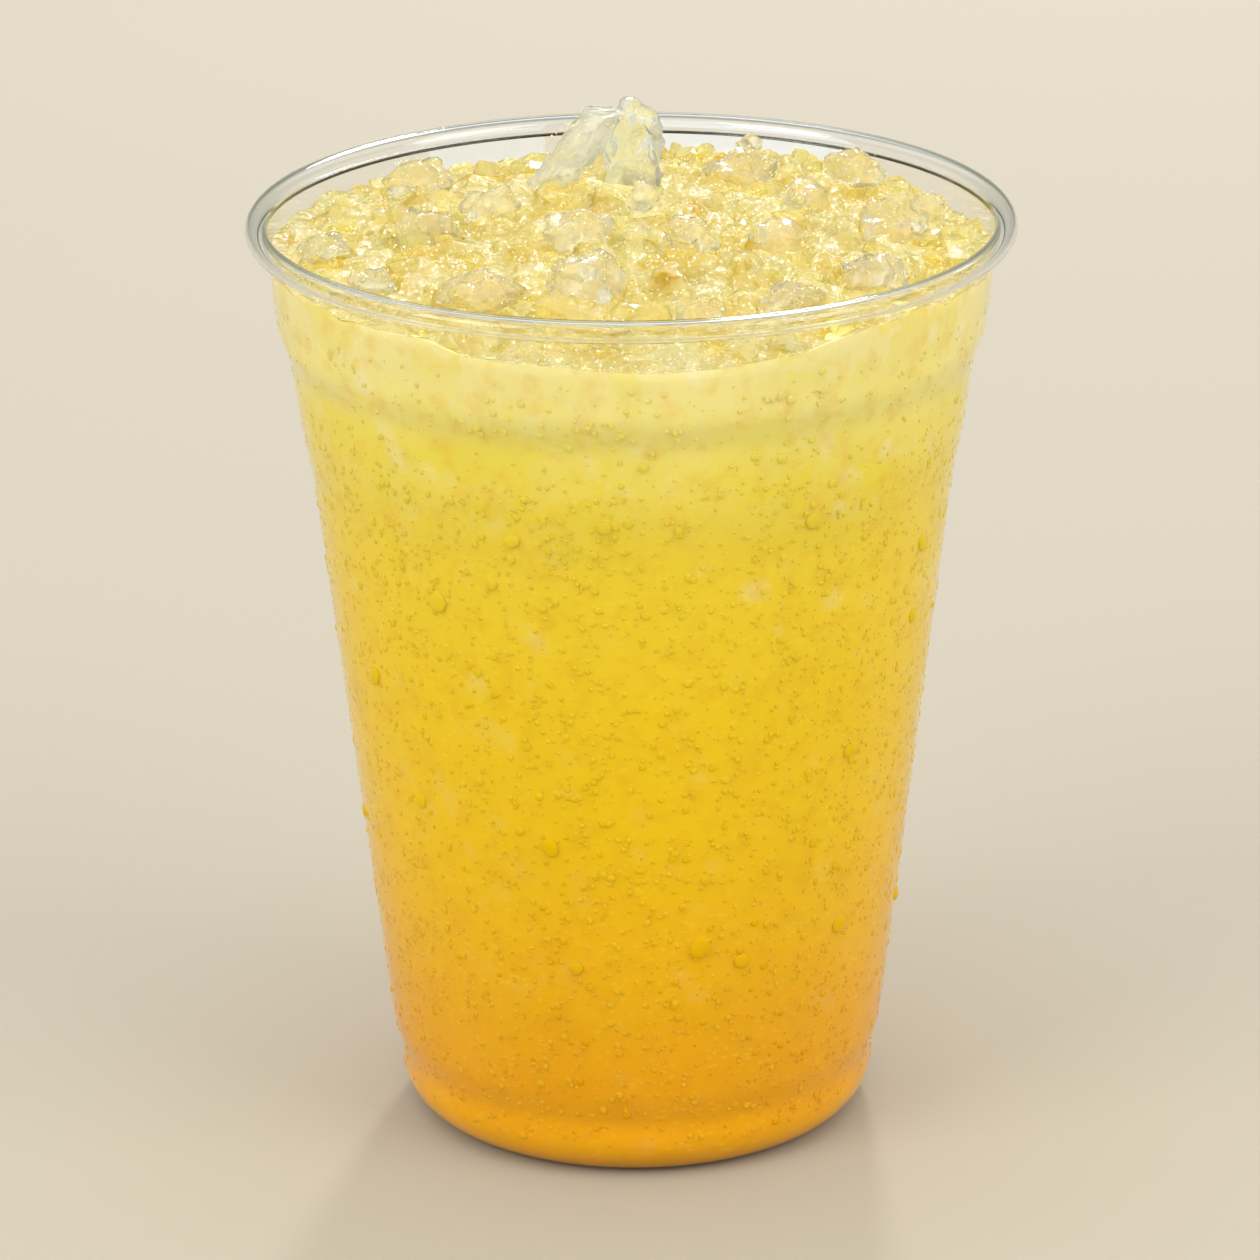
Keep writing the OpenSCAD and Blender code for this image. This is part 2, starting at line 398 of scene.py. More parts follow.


# pale sunk ice, more of it near the top, darker hollows, and bright yellow dots painted as the light that
# beads on the wall gather
def iceBehindWall(tree, point, height, colour):
    look = sunkIce
    blobs = voronoiOf(tree, point, look["blobSize"], "SMOOTH_F1")
    blobs = ramp(tree, blobs, [(0.15, grey(1)), (0.40, grey(0))])
    patches = ramp(tree, noiseOf(tree, point, look["patchSize"], 4), [(0.50, grey(0)), (0.66, grey(1))])
    ice = mixColour(tree, 1.0, blobs, patches, "MULTIPLY")
    ice = mixColour(tree, 1.0, ice, ramp(tree, height, look["iceByHeight"]), "MULTIPLY")
    colour = mixColour(tree, ice, colour, look["ice"])
    stir = put(tree, "ShaderNodeTexNoise", Scale=look["stirSize"], Detail=2.0)
    tree.links.new(point, stir.inputs["Vector"])
    bent = put(tree, "ShaderNodeVectorMath", operation="MULTIPLY_ADD")
    bent.inputs[1].default_value = grey(look["stirFar"])
    tree.links.new(stir.outputs["Color"], bent.inputs[0])
    tree.links.new(point, bent.inputs[2])
    cells = put(tree, "ShaderNodeTexVoronoi", Scale=look["pieceSize"])
    tree.links.new(bent.outputs[0], cells.inputs["Vector"])
    pieces = ramp(tree, cells.outputs["Color"], [(0.42, grey(0)), (0.50, grey(1))])
    pieces = mixColour(tree, 1.0, pieces, ramp(tree, height, look["piecesByHeight"]), "MULTIPLY")
    colour = mixColour(tree, pieces, colour, look["pieces"])
    deep = ramp(tree, noiseOf(tree, point, look["hollowSize"], 3), [(0.50, grey(0)), (0.72, grey(0.55))])
    colour = mixColour(tree, deep, colour, mixColour(tree, 0.55, colour, look["hollows"]))
    wide = put(tree, "ShaderNodeMapping")
    wide.inputs["Scale"].default_value = (0.8, 0.8, 1.25)
    tree.links.new(point, wide.inputs[0])
    # painted light: bright dots where beads on the wall would gather light
    beadLightDots = voronoiOf(tree, wide.outputs[0], look["beadLightDotSize"])
    beadLightDots = ramp(tree, beadLightDots, [(0.16, grey(1)), (0.36, grey(0))])
    crowd = ramp(tree, noiseOf(tree, point, look["crowdSize"], 2), [(0.38, grey(0.1)), (0.62, grey(0.55))])
    beadLightDots = mixColour(tree, 1.0, beadLightDots, crowd, "MULTIPLY")
    return mixColour(tree, beadLightDots, colour, mixColour(tree, 0.5, colour, look["beadLightDots"]))


def lemonade():
    material, tree, shader, out = newMaterial("lemonade")
    point = objectPoint(tree)
    height = heightOf(tree, point)
    colour = iceBehindWall(tree, point, height, drinkColour(tree, point, height))
    tree.links.new(colour, shader.inputs["Base Color"])
    shader.inputs["Roughness"].default_value = drinkLook["roughness"]
    shader.inputs["Specular IOR Level"].default_value = 0.0
    return material


slushLook = {
    "dull": srgb(207, 176, 50), "pale": srgb(212, 195, 116), "deep": srgb(204, 166, 40),
    "grains": srgb(240, 234, 200),
    "patchSize": 130, "grainSize": 1100, "fineSize": 1200, "cellSize": 520,   # repeats per metre
    "fineHeight": 0.45 * mm, "cellHeight": 0.6 * mm,
    "scatter": 0.35, "scatterReach": (2.4, 1.9, 0.8),
    "roughness": 0.1, "shine": 0.8,
}


def slush():                      # crushed ice packed together and soaked with the drink
    look = slushLook
    material, tree, shader, out = newMaterial("slush")
    point = objectPoint(tree)
    height = heightOf(tree, point)
    side = iceBehindWall(tree, point, height, drinkColour(tree, point, height))
    patches = ramp(tree, noiseOf(tree, point, look["patchSize"], 5), [(0.36, grey(0)), (0.62, grey(1))])
    top = mixColour(tree, patches, look["dull"], look["pale"])
    deep = put(tree, "ShaderNodeAttribute", attribute_name="deep")
    top = mixColour(tree, deep.outputs["Fac"], top, look["deep"])
    grains = ramp(tree, voronoiOf(tree, point, look["grainSize"]), [(0.10, grey(1)), (0.28, grey(0))])
    top = mixColour(tree, grains, top, look["grains"])
    away = put(tree, "ShaderNodeAttribute", attribute_name="away")
    tree.links.new(mixColour(tree, away.outputs["Fac"], side, top), shader.inputs["Base Color"])
    shader.inputs["Subsurface Weight"].default_value = look["scatter"]
    shader.inputs["Subsurface Radius"].default_value = look["scatterReach"]
    shader.inputs["Subsurface Scale"].default_value = mm
    shader.inputs["Roughness"].default_value = look["roughness"]
    shader.inputs["Specular IOR Level"].default_value = look["shine"]
    fine = bumpOf(tree, noiseOf(tree, point, look["fineSize"], 3), 1.0, look["fineHeight"])
    cells = bumpOf(tree, voronoiOf(tree, point, look["cellSize"]), 1.0, look["cellHeight"], fine)
    for relief in (fine, cells):                   # none where it lies on the wall
        tree.links.new(away.outputs["Fac"], relief.node.inputs["Strength"])
    tree.links.new(cells, shader.inputs["Normal"])
    return material


waterLook = {
    "ior": 1.15, "clear": 0.25, "roughness": 0.25, "lampShare": 0.7,
    # painted light: the lightest beads are painted brighter, standing in for lamp light that beads gather
    "paintedFocusLight": srgb(255, 228, 66), "paintedFocusShare": 0.32,      # the lightest beads
}


def dewWater():                   # beads that gather the drink's colour, a little brighter than the drink
    material, tree, shader, out = newMaterial("dew")
    point = objectPoint(tree)
    # the drink's colour is painted on the beads, standing in for the drink seen through them; some are
    # painted brighter as painted light
    colour = drinkColour(tree, point, heightOf(tree, point), 1)
    tone = put(tree, "ShaderNodeAttribute", attribute_name="tone")
    paintedFocusLight = mixColour(tree, waterLook["paintedFocusShare"], colour, waterLook["paintedFocusLight"])
    colour = mixColour(tree, tone.outputs["Fac"], colour, paintedFocusLight)
    tree.links.new(colour, shader.inputs["Base Color"])
    shader.inputs["Transmission Weight"].default_value = waterLook["clear"]
    shader.inputs["IOR"].default_value = waterLook["ior"]
    shader.inputs["Roughness"].default_value = waterLook["roughness"]
    letLampsThrough(tree, shader, out, waterLook["lampShare"])
    return material


iceLooks = {
    "bubblyIce": {
        "tint": srgb(250, 247, 232), "soaked": srgb(240, 228, 172), "clear": 0.84,
        "grain": 1000, "haze": 0.05, "relief": 0.9, "scatter": 0.6, "lampShare": 0.97,
    },
    "frostyIce": {
        "tint": srgb(250, 250, 244), "soaked": srgb(240, 238, 220), "clear": 0.74,
        "grain": 1000, "haze": 0.04, "relief": 0.9, "scatter": 0.6, "lampShare": 0.97,
    },
    "soakedIce": {
        "tint": srgb(245, 240, 200), "soaked": srgb(236, 226, 142), "clear": 0.78,
        "grain": 1200, "haze": 0.05, "relief": 0.7, "scatter": 0.6, "lampShare": 0.97,
    },
    "crumbIce": {
        "tint": srgb(252, 248, 226), "soaked": srgb(246, 236, 180), "clear": 0.2,
        "grain": 900, "haze": 0.05, "relief": 0.25, "scatter": 0.0, "lampShare": 0.8,
    },
    "clearIce": {
        "tint": (0.95, 0.98, 1.0), "soaked": (0.88, 0.95, 1.0), "clear": 0.86,
        "grain": 500, "haze": 0.02, "relief": 0.15, "scatter": 0.5, "lampShare": 0.97,
    },
}
anyIce = {
    "flecks": srgb(252, 249, 232), "ior": 1.31, "scatterReach": (2.0, 1.7, 1.0),
    "wet": 0.6, "wetRoughness": 0.03,
    "cellHeight": 0.25 * mm, "swellHeight": 0.6 * mm,
}


def iceOf(name):                  # the grain is in repeats per metre
    look = iceLooks[name]
    grain = look["grain"]
    material, tree, shader, out = newMaterial(name)
    point = objectPoint(tree)
    flecks = ramp(tree, voronoiOf(tree, point, grain), [(0.10, grey(1)), (0.30, grey(0))])
    mottle = ramp(tree, noiseOf(tree, point, grain * 0.2, 4), [(0.38, grey(0)), (0.68, grey(1))])
    tone = put(tree, "ShaderNodeAttribute", attribute_name="tone")
    colour = mixColour(tree, mottle, look["tint"], look["soaked"])
    colour = mixColour(tree, tone.outputs["Fac"], colour, look["soaked"])
    colour = mixColour(tree, flecks, colour, anyIce["flecks"])
    tree.links.new(colour, shader.inputs["Base Color"])
    shader.inputs["Transmission Weight"].default_value = look["clear"]
    shader.inputs["Subsurface Weight"].default_value = look["scatter"]
    shader.inputs["Subsurface Radius"].default_value = anyIce["scatterReach"]
    shader.inputs["Subsurface Scale"].default_value = mm
    shader.inputs["IOR"].default_value = anyIce["ior"]
    shader.inputs["Roughness"].default_value = look["haze"]
    shader.inputs["Coat Weight"].default_value = anyIce["wet"]
    shader.inputs["Coat Roughness"].default_value = anyIce["wetRoughness"]
    fine = bumpOf(tree, voronoiOf(tree, point, grain * 0.8), look["relief"], anyIce["cellHeight"])
    swell = noiseOf(tree, point, grain * 0.35, 4)
    tree.links.new(bumpOf(tree, swell, look["relief"], anyIce["swellHeight"], fine), shader.inputs["Normal"])
    letLampsThrough(tree, shader, out, look["lampShare"])
    return material


plasticMaterial = clearPlastic()
drinkMaterial = lemonade()
slushMaterial = slush()
dewMaterial = dewWater()
iceMaterials = {name: iceOf(name) for name in iceLooks}
print("materials made")

cup = {"steps": 192, "bendRadius": 1.0 * mm, "bendSteps": 3, "beadDrop": 3.2 * mm}

cupLine = rounded(seamOutline("cup"), cup["bendRadius"], cup["bendSteps"])
cupPiece = turned("cup_shell", cupLine, cup["steps"])
finishPiece(cupPiece, plasticMaterial, ["cup"])
wallTop = cupHigh.z - cup["beadDrop"]             # the wall proper ends under the bead
print("cup turned:", len(cupPiece.data.polygons), "faces")

heap = {
    "voxel": 0.5 * mm, "keep": 0.4, "soft": 22,
    "reach": 0.06 * mm,           # how far it reaches into the wall
    "sideDepth": 0.9 * mm,        # what lies this near the wall is its side
    "floorDepth": 0.6 * mm, "floorDrop": 0.9 * mm,        # its underside goes down into the drink
    "rough": -1.6 * mm, "roughSize": 5.4 * mm, "fine": 0.45 * mm, "fineSize": 1.4 * mm,
    # the line where it meets the wall: unevenness, waves per metre, and less of it at the front
    "edgeRise": 1.3 * mm, "edgeWaves": 240, "edgeFade": 3 * mm, "frontHalf": 17 * mm, "frontShare": 0.15,
    # where the soaked ice shows deepest: x, y, reach
    "deep": [
        (-30, 12, 5), (-37, -9, 3), (21, -1, 4), (-6, 8, 4),
        (8, 12, 3.5), (30, 15, 3), (-16, -2, 3), (4, -22, 3),
    ],
}
contactParts = 60                 # the line where the ice meets the wall is kept in this many parts


def roughTexture(name, size):     # blocky for the coarse shapes, cloudy for the fine ones
    texture = bpy.data.textures.new(name, "CLOUDS" if name in ("fine", "grit") else "VORONOI")
    texture.noise_scale = size
    if texture.type == "VORONOI":
        texture.distance_metric = "MANHATTAN"
    return texture


def contactPart(x, y):
    return int(math.degrees(math.atan2(y, x)) % 360 / (360 / contactParts))


def contactAt(angle):             # how high the ice meets the wall in this direction
    place = math.degrees(angle) % 360 / (360 / contactParts) - 0.5
    before = math.floor(place)
    share = place - before
    return contact[before % contactParts] * (1 - share) + contact[(before + 1) % contactParts] * share


heapPiece = cadCopy("ice_heap", "heap_core")
remesh = heapPiece.modifiers.new("remesh", "REMESH")
remesh.mode = "VOXEL"
remesh.voxel_size = heap["voxel"]
applyModifiers(heapPiece)
topGroup = heapPiece.vertex_groups.new(name="top")
awayShares, deepShares, contact = [], [], {}
upness = [v.normal.z for v in heapPiece.data.vertices]
for v in heapPiece.data.vertices:
    r = math.hypot(v.co.x, v.co.y)
    inner = wallAt(cupLine, min(max(v.co.z, 20 * mm), wallTop))[0]
    if r > inner - heap["sideDepth"]:              # the side reaches just into the wall
        grow = (inner + heap["reach"]) / r
        v.co.x *= grow
        v.co.y *= grow
        calm = heap["frontShare"] if v.co.y < 0 and abs(v.co.x) < heap["frontHalf"] else 1
        share = min(1, max(0, (v.co.z - heapLow.z) / heap["edgeFade"]))
        wave = noise(Vector((v.co.x, v.co.y, 0)) * heap["edgeWaves"])
        v.co.z += share * calm * heap["edgeRise"] * wave
        part = contactPart(v.co.x, v.co.y)
        contact[part] = max(contact.get(part, 0), v.co.z)
    if v.co.z < heapLow.z + heap["floorDepth"]:
        v.co.z -= heap["floorDrop"]
    inside = inner - r - heap["sideDepth"]         # how far it lies in from the side
    awayShares.append(min(1, max(0, inside / (0.5 * mm), (upness[v.index] - 0.25) / 0.35)))
    deepShares.append(max(
        max(0, 1 - math.hypot(v.co.x - x * mm, v.co.y - y * mm) / (far * mm)) for x, y, far in heap["deep"]))
    if v.co.z > heapLow.z + heap["floorDepth"]:
        topGroup.add([v.index], min(1, max(0, inside / (1.2 * mm))), "REPLACE")
for name, shares in (("away", awayShares), ("deep", deepShares)):
    heapPiece.data.attributes.new(name, "FLOAT", "POINT").data.foreach_set("value", shares)
relief = (("coarse", heap["rough"], heap["roughSize"]), ("fine", heap["fine"], heap["fineSize"]))
for name, strength, size in relief:
    push = heapPiece.modifiers.new(name, "DISPLACE")
    push.texture = roughTexture(name, size)
    push.texture_coords = "LOCAL"
    push.vertex_group = "top"
    push.strength = strength
    push.mid_level = 0.5
cut = heapPiece.modifiers.new("cut", "DECIMATE")
cut.ratio = heap["keep"]
applyModifiers(heapPiece)
smooth(heapPiece, heap["soft"])
finishPiece(heapPiece, slushMaterial, ["ice_heap"])
print("heap core:", len(heapPiece.data.polygons), "faces")

# it reaches just into the wall, so no air shows, and up to where the ice meets the wall
drink = {
    "steps": 192, "rows": 4, "bendRadius": 1.0 * mm, "bendSteps": 3,
    "gap": 0.12 * mm, "reach": 0.36 * mm,
    "under": 0.35 * mm, "underBack": 1.7 * mm,            # how far it stays under the ice's edge
    "tuck": 1.4 * mm, "tuckDown": 0.6 * mm,               # its top bends in under the ice
}

drinkLine = rounded(seamOutline("drink"), drink["bendRadius"], drink["bendSteps"])
drinkLine = [p for p in drinkLine if p[1] < drinkHigh.z - 1.5 * mm]
rowHeights = [drinkHigh.z + mm * i / drink["rows"] for i in range(drink["rows"] + 1)]
drinkLine += [(wallAt(cupLine, z)[0] - drink["gap"], z) for z in rowHeights]
drinkLine += [(drinkLine[-1][0] - drink["tuck"], drinkHigh.z + 1.2 * mm), (0.0, drinkHigh.z + 1.3 * mm)]
drinkPiece = turned("drink_body", drinkLine, drink["steps"])
for v in drinkPiece.data.vertices:
    share = (v.co.z - drinkHigh.z) / mm
    if share <= 0.01:
        continue
    r = math.hypot(v.co.x, v.co.y)
    if share > 1.25:                               # the middle lies deep in the ice
        v.co.z = drinkHigh.z
        continue
    backShare = 0.5 + 0.5 * v.co.y / r             # lower at the back, where it would show over the ice
    under = drink["under"] + (drink["underBack"] - drink["under"]) * backShare
    edgeHeight = contactAt(math.atan2(v.co.y, v.co.x)) - under
    level = drinkHigh.z + min(share, 1) * (edgeHeight - drinkHigh.z)
    radius = wallAt(cupLine, min(level, wallTop))[0] - drink["gap"]
    if share > 1.1:
        level -= drink["tuckDown"]
        radius -= drink["tuck"]
    v.co.x *= radius / r
    v.co.y *= radius / r
    v.co.z = level
swell = drinkPiece.modifiers.new("reach", "DISPLACE")
swell.strength = drink["reach"]
swell.mid_level = 0
applyModifiers(drinkPiece)
finishPiece(drinkPiece, drinkMaterial, ["drink"])
print("drink poured")

# how each kind of large ice is shaped: levels of division, coarse and fine relief, share of faces kept
lump = {
    "levels": 2, "push": -1.5 * mm, "pushSize": 4.0 * mm, "grit": 0.5 * mm, "keep": 0.3,
    "mostTone": 0.55,
}
wedge = {
    "levels": 3, "push": -1.0 * mm, "pushSize": 2.2 * mm, "grit": 0.3 * mm, "keep": 0.22,
    "middle": 0.45, "slope": 0.75, "lean": 0.6 * mm, "belowPeak": 1.4 * mm,   # it rises towards the crystal
}
crystal = {
    "levels": 3, "push": -0.8 * mm, "pushSize": 2.4 * mm, "grit": 0.2 * mm, "keep": 0.06,
    "widen": 0.45, "slope": 0.25, "inset": 0.05 * mm,     # its top is broad and slants to the right
}
bigIce = {"bevel": 0.2 * mm, "gritSize": 1.2 * mm, "soft": 27}


def iceFrom(node, material, shape, tone):   # roughened, then cut into flat faces
    piece = cadCopy(node, node + "_piece")
    bevel = piece.modifiers.new("bevel", "BEVEL")
    bevel.width = bigIce["bevel"]
    bevel.segments = 1
    bevel.limit_method = "NONE"
    divide = piece.modifiers.new("divide", "SUBSURF")
    divide.subdivision_type = "SIMPLE"
    divide.levels = shape["levels"]
    divide.render_levels = shape["levels"]
    for key, grain in (("push", shape["pushSize"]), ("grit", bigIce["gritSize"])):
        move = piece.modifiers.new(key, "DISPLACE")
        move.texture = roughTexture(key, grain)
        move.texture_coords = "LOCAL"
        move.strength = shape[key]
        move.mid_level = 0.5
    cut = piece.modifiers.new("cut", "DECIMATE")
    cut.ratio = shape["keep"]
    applyModifiers(piece)
    tones = piece.data.attributes.new("tone", "FLOAT", "POINT")
    tones.data.foreach_set("value", [tone] * len(piece.data.vertices))
    smooth(piece, bigIce["soft"])
    finishPiece(piece, material, [node])
    return piece


for node in lumpNodes:
    iceFrom(node, iceMaterials["bubblyIce"], lump, chance.uniform(0, lump["mostTone"]))
shoulder = iceFrom("ice_shoulder", iceMaterials["frostyIce"], wedge, 0.0)
peak = iceFrom("ice_peak", iceMaterials["clearIce"], crystal, 0.0)
shoulderLow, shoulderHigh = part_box("ice_shoulder")
peakLow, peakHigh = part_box("ice_peak")
shoulderMiddle = (1 - wedge["middle"]) * shoulderLow.x + wedge["middle"] * shoulderHigh.x
for v in shoulder.data.vertices:
    share = (v.co.z - shoulderLow.z) / (shoulderHigh.z - shoulderLow.z)
    risen = v.co.z + wedge["slope"] * share * (v.co.x - shoulderMiddle)
    v.co.z = min(risen, peakHigh.z - wedge["belowPeak"])
    v.co.x += wedge["lean"] * share
peakMiddle = 0.5 * (peakLow.x + peakHigh.x)
for v in peak.data.vertices:
    share = (v.co.z - peakLow.z) / (peakHigh.z - peakLow.z)
    v.co.x = peakMiddle + (v.co.x - peakMiddle) * (1 + crystal["widen"] * share)
    slant = crystal["slope"] * max(0, v.co.x - peakMiddle)
    v.co.z = min(v.co.z, peakHigh.z - crystal["inset"] - slant)
print("large ice shaped:", len(lumpNodes) + 2)

chunk = {"sorts": 7, "cuts": 7, "uneven": 0.22, "cutNear": 0.55, "cutFar": 0.8}
# half size of the pieces, and how high their middle lies as a share of it
crushed = {"count": 75, "least": 1.8 * mm, "most": 4.2 * mm, "lift": -0.55}
# more by the wall, from this share of the mouth's radius out, but for the front
edgeIce = {"count": 60, "least": 1.2 * mm, "most": 2.4 * mm, "lift": -0.2, "from": 0.88, "calm": 0.22}
crumbs = {"count": 3600, "least": 0.07 * mm, "most": 0.2 * mm, "lift": 0.2}
headroom = 8 * mm                 # loose ice stays lower than this over the rim


def surfaceTree(nodes):
    points, faces = [], []
    for node in nodes:
        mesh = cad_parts[node].data
        start = len(points)
        points += [v.co.copy() for v in mesh.vertices]
        faces += [tuple(i + start for i in p.vertices) for p in mesh.polygons]
    return BVHTree.FromPolygons(points, faces)


heapTree = surfaceTree(["ice_heap"])
iceTree = surfaceTree(["ice_heap", "ice_peak", "ice_shoulder"] + lumpNodes)


def chunkMaster(seed):            # an uneven chunk, cut flat here and there
    deselect()
    bpy.ops.mesh.primitive_ico_sphere_add(subdivisions=2, radius=1)
    piece = bpy.context.object
    editAll()
    bpy.ops.transform.vertex_random(offset=chunk["uneven"], seed=seed)
    draw = random.Random(seed)
    for cut in range(chunk["cuts"]):
        side = Vector((draw.gauss(0, 1), draw.gauss(0, 1), draw.gauss(0, 1))).normalized()
        bpy.ops.mesh.select_all(action="SELECT")
        spot = side * draw.uniform(chunk["cutNear"], chunk["cutFar"])
        bpy.ops.mesh.bisect(plane_co=spot, plane_no=side, use_fill=True, clear_outer=True)
    bpy.ops.mesh.select_all(action="SELECT")
    bpy.ops.mesh.dissolve_limited(angle_limit=math.radians(6))
    bpy.ops.mesh.select_all(action="SELECT")
    bpy.ops.mesh.quads_convert_to_tris()
    bpy.ops.mesh.normals_make_consistent(inside=False)
    bpy.ops.object.mode_set(mode="OBJECT")
    return takeMesh(piece)


def dropped(x, y, tree):          # where a piece let fall at x, y comes to lie
    above = Vector((x, y, cadBox[1][2] + 10 * mm))
    return tree.ray_cast(above, Vector((0, 0, -1)))[0]


def anyTurn(draw):
    return Matrix.Rotation(draw.uniform(0, 6.28), 4, (draw.gauss(0, 1), draw.gauss(0, 1), draw.gauss(0, 1)))


chunkMasters = [chunkMaster(seed) for seed in range(chunk["sorts"])]
mouthRadius = wallAt(cupLine, heapHigh.z if heapHigh.z < wallTop else wallTop)[0]


def strewn(values, tree, sorts, draw):
    places = []
    while len(places) < values["count"]:
        size = draw.uniform(values["least"], values["most"])
        r = (mouthRadius - 1.15 * size) * math.sqrt(draw.uniform(values.get("from", 0.0) ** 2, 1))
        a = draw.uniform(0, 2 * math.pi)
        fromFront = abs(math.sin(a / 2 + math.pi / 4))
        if r > 0.85 * mouthRadius and fromFront < values.get("calm", 0.0):   # the liquid shows at the front
            continue
        spot = dropped(r * math.cos(a), r * math.sin(a), tree)
        if spot is None or spot.z + size > cupHigh.z + headroom:
            continue
        limit = wallAt(cupLine, min(spot.z, wallTop))[0] - 1.1 * size
        if math.hypot(spot.x, spot.y) > limit:
            continue
        across, along, high = draw.uniform(0.8, 1.2), draw.uniform(0.8, 1.2), draw.uniform(0.5, 0.8)
        shape = Matrix.Diagonal((size * across, size * along, size * high, 1))
        place = Matrix.Translation(spot + Vector((0, 0, size * values["lift"]))) @ anyTurn(draw) @ shape
        places.append((draw.randrange(sorts), place, draw.random() ** 1.5))
    return places


loose = strewn(crushed, heapTree, chunk["sorts"], chance)
loose += strewn(edgeIce, heapTree, chunk["sorts"], chance)
crushedPiece = scattered("crushed_ice", chunkMasters, loose)
finishPiece(crushedPiece, iceMaterials["soakedIce"])
deselect()
bpy.ops.mesh.primitive_ico_sphere_add(subdivisions=1, radius=1)
crumbMaster = takeMesh(bpy.context.object)
crumbPiece = scattered("ice_crumbs", [crumbMaster], strewn(crumbs, iceTree, 1, chance))
smooth(crumbPiece, 30)
finishPiece(crumbPiece, iceMaterials["crumbIce"])
print("crushed ice strewn")

# size is a bead's half width, flat how far it stands out as a share of that
dew = {
    "mist": {"count": 8600, "least": 0.14 * mm, "most": 0.36 * mm, "flat": 0.3, "facets": (6, 4)},
    "beads": {"count": 2600, "least": 0.3 * mm, "most": 0.56 * mm, "flat": 0.32, "facets": (9, 6)},
    "drops": {
        "count": 30, "least": 0.8 * mm, "most": 1.2 * mm, "flat": 0.38, "facets": (24, 16),
        # single large ones: direction in degrees, height, size
        "single": [(-127.5, 79.9, 1.1), (-148.5, 65.9, 1.2), (-107.2, 48.0, 1.1), (-76.7, 33.9, 1.2)],
    },
}
wet = {
    "low": cupLow.z + 5 * mm, "high": cupHigh.z - 9 * mm,     # the part of the wall that is beaded
    "sparse": 98 * mm, "sparseShare": 0.6,                    # fewer beads over this height
    "sunk": 0.06 * mm,                                        # how deep a bead sits in the wall
}


def capMaster(segments, rings):   # the half of a bead that stands out of the wall
    deselect()
    bpy.ops.mesh.primitive_uv_sphere_add(segments=segments, ring_count=rings, radius=1)
    editAll()
    bpy.ops.mesh.bisect(plane_co=(0, 0, 0.02), plane_no=(0, 0, 1), use_fill=True, clear_inner=True)
    bpy.ops.object.mode_set(mode="OBJECT")
    return takeMesh(bpy.context.object)


def sitting(angle, z, size, flat, draw):   # a bead of this size on the wall
    out = Vector((math.cos(angle), math.sin(angle), 0))
    up = Vector((0, 0, 1))
    basis = Matrix((up.cross(out), up, out)).transposed().to_4x4()
    across, along = draw.uniform(0.8, 1.25), draw.uniform(0.85, 1.3)
    shape = Matrix.Diagonal((size * across, size * along, size * flat, 1))
    turn = Matrix.Rotation(draw.uniform(-0.6, 0.6), 4, "Z")
    radius = wallAt(cupLine, z)[1] - wet["sunk"]
    return 0, Matrix.Translation(out * radius + up * z) @ basis @ turn @ shape, draw.random()


def onWall(values, draw):
    flat = values["flat"]
    single = values.get("single", [])
    places = [sitting(math.radians(a), z * mm, size * mm, flat, draw) for a, z, size in single]
    while len(places) < values["count"]:
        z = draw.uniform(wet["low"], wet["high"])
        a = draw.uniform(0, 2 * math.pi)
        size = values["least"] + (values["most"] - values["least"]) * draw.random() ** 2.2
        if draw.random() > wallAt(cupLine, z)[1] / mouthRadius:   # as many to an area low down as high up
            continue
        if z > wet["sparse"] and draw.random() < wet["sparseShare"]:
            continue
        places.append(sitting(a, z, size, flat, draw))
    return places


masters = {name: capMaster(*values["facets"]) for name, values in dew.items()}
for name, values in dew.items():
    piece = scattered("dew_" + name, [masters[name]], onWall(values, chance))
    smooth(piece, 50)
    finishPiece(piece, dewMaterial)
print("condensation set")

studio = {
    "floor": srgb(190, 180, 163), "floorSize": 8, "floorRoughness": 0.85,
    # the sky from straight down to straight up: dim below, so the rim has dark lines
    "sky": [
        (0.0, (0.27, 0.30, 0.23)), (0.38, (0.27, 0.30, 0.23)),
        (0.58, (1.15, 1.2, 1.25)), (1.0, (1.2, 1.25, 1.3)),
    ],
    # lamps: place in metres, size, power, tint
    "lamps": [
        ("keyLamp", (-0.75, -0.62, 0.6), (0.6, 0.6), 4.5, (1.0, 0.99, 0.96)),
        ("fillLamp", (0.8, -0.52, 0.55), (0.7, 0.7), 4.2, (1.0, 0.99, 0.97)),
        ("backLamp", (0.1, 0.9, 0.7), (0.1, 0.1), 4.0, (0.97, 0.98, 1.0)),
    ],
    "middle": (0, 0, 0.07),       # what the lamps face
    # pale blue cards low behind the cup, seen only through clear things: across, width, power
    "cards": [("blueCardLeft", -0.0245, 0.02, 0.00030), ("blueCardRight", 0.0205, 0.032, 0.00075)],
    "cardTint": (0.48, 0.73, 1.0),
    "distance": 850 * mm, "elevation": 19.78, "roll": -0.43,
    "aim": (-0.54 * mm, 0, 64.5 * mm),
    "lens": 187.2,
}

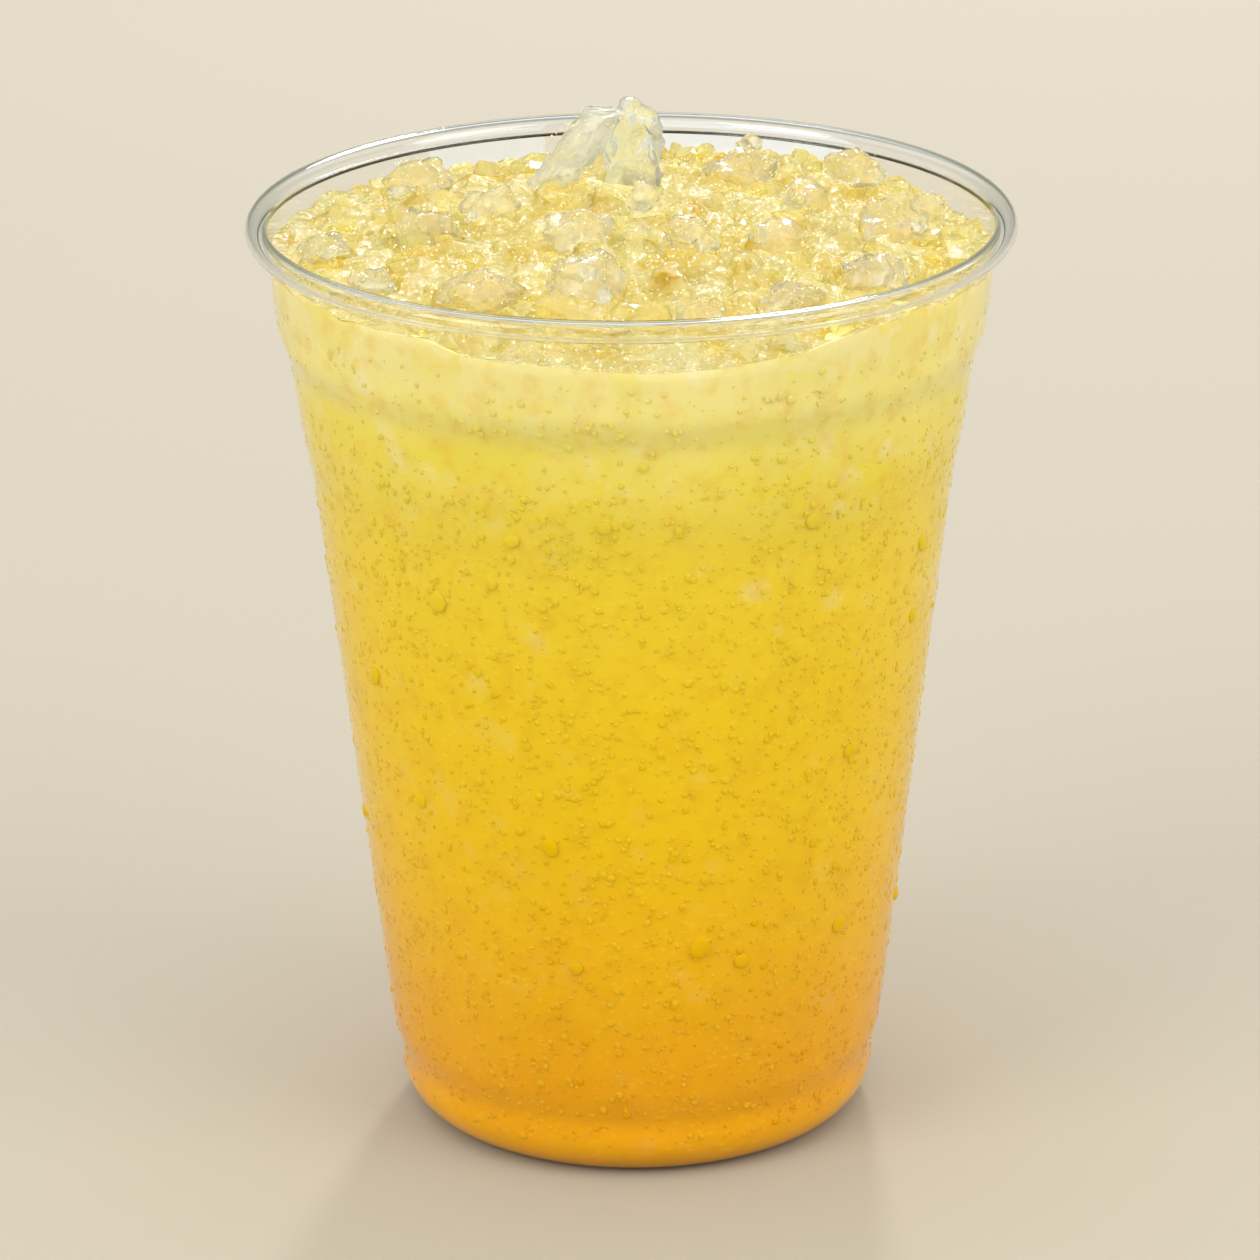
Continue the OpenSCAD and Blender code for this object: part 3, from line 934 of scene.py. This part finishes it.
deselect()
bpy.ops.mesh.primitive_plane_add(size=studio["floorSize"], location=(0, 0, cupLow.z))
floor = bpy.context.object
settle(floor, "floor")
floorMaterial, tree, shader, out = newMaterial("paleFloor")
point = objectPoint(tree)
darker = tuple(0.97 * c for c in studio["floor"])
colour = mixColour(tree, noiseOf(tree, point, 3, 2), studio["floor"], darker)
tree.links.new(colour, shader.inputs["Base Color"])
shader.inputs["Roughness"].default_value = studio["floorRoughness"]
shader.inputs["Specular IOR Level"].default_value = 0.0
floor.data.materials.append(floorMaterial)

world = bpy.data.worlds.new("studio")
bpy.context.scene.world = world
world.use_nodes = True
background = world.node_tree.nodes["Background"]
sky = world.node_tree
where = put(sky, "ShaderNodeTexCoord")
split = put(sky, "ShaderNodeSeparateXYZ")
sky.links.new(where.outputs["Generated"], split.inputs[0])
shade = ramp(sky, split.outputs[2], studio["sky"])
sky.links.new(shade, background.inputs[0])
background.inputs[1].default_value = 1.0


def lamp(name, place, target, size, power, colour):
    data = bpy.data.lights.new(name, "AREA")
    data.shape = "RECTANGLE"
    data.size, data.size_y = size
    data.energy = power
    data.color = colour
    piece = bpy.data.objects.new(name, data)
    bpy.context.scene.collection.objects.link(piece)
    piece.location = place
    piece.rotation_euler = (Vector(target) - Vector(place)).to_track_quat("-Z", "Y").to_euler()


for name, place, size, power, tint in studio["lamps"]:
    lamp(name, place, studio["middle"], size, power, tint)
for name, across, wide, power in studio["cards"]:
    lamp(name, (across, 0.27, 0.055), (across, 0, 0.12), (wide, 0.03), power, studio["cardTint"])
    bpy.data.objects[name].visible_camera = False

e = math.radians(studio["elevation"])
back = Vector((0, -math.cos(e), math.sin(e)))
right = Vector((1, 0, 0))
up = right.cross(-back)
roll = math.radians(studio["roll"])
sideways = right * math.cos(roll) + up * math.sin(roll)
upwards = up * math.cos(roll) - right * math.sin(roll)
camera = bpy.data.objects.new("camera", bpy.data.cameras.new("camera"))
bpy.context.scene.collection.objects.link(camera)
turn = Matrix((sideways, upwards, back)).transposed().to_4x4()
camera.matrix_world = Matrix.Translation(Vector(studio["aim"]) + back * studio["distance"]) @ turn
camera.data.lens = studio["lens"]
camera.data.sensor_width = 36
camera.data.clip_end = 50
bpy.context.scene.camera = camera
bpy.context.scene.view_settings.view_transform = "Standard"
print("studio set")
